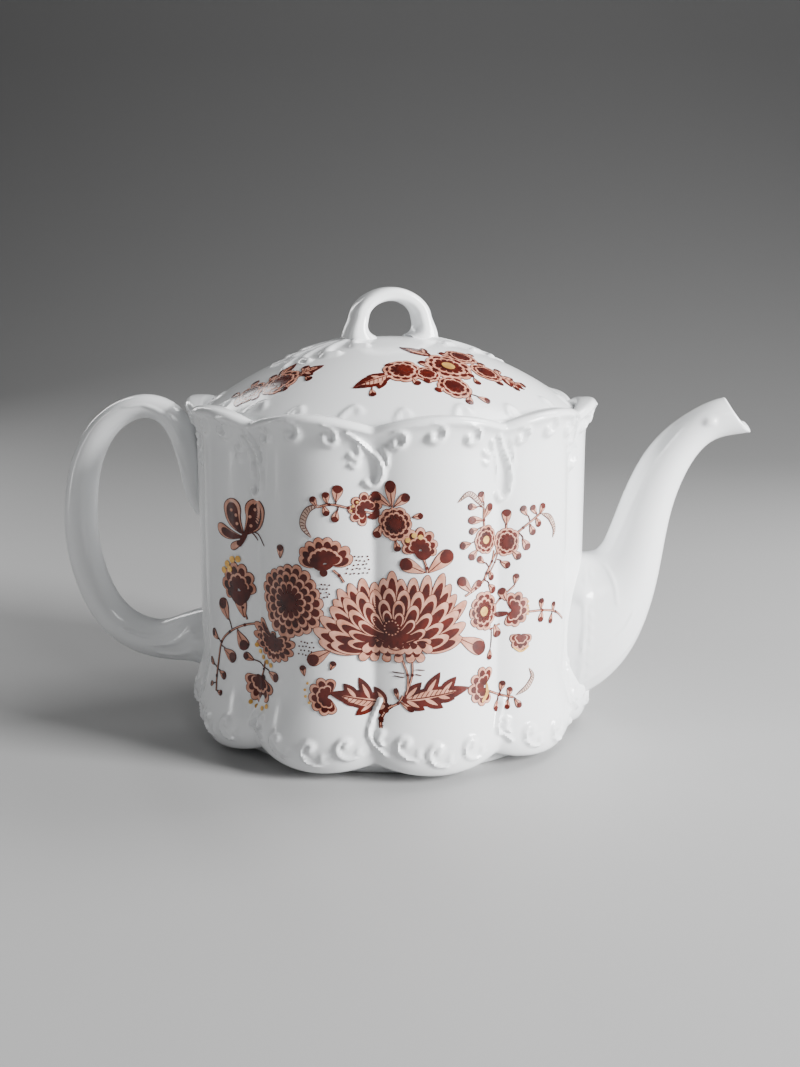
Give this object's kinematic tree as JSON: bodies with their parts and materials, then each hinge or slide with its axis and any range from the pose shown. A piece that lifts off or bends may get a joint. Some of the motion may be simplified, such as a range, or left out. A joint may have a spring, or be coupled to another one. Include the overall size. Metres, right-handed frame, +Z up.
{
  "type": "teapot",
  "caption": "Lobed white porcelain teapot with scalloped rim, curved spout, loop handle and a lift-off domed lid with a ring knob.",
  "frame": {"origin": "centre of the foot ring's face, on the pot's axis", "axes": "+X towards the spout, +Z up along the pot's axis, -X towards the handle"},
  "size_m": [0.2491, 0.1432, 0.1586],
  "materials": {
    "glaze": "glossy"
  },
  "bodies": {
    "pot": {"pot_body": "glaze", "spout": "glaze", "handle": "glaze"},
    "lid": {"lid_cover": "glaze", "lid_ring": "glaze"}
  },
  "joints": [
    {"name": "lid_lift", "type": "slide", "parent": "pot", "child": "lid", "axis": [0, 0, 1], "range_m": [0, 0.06]}
  ]
}
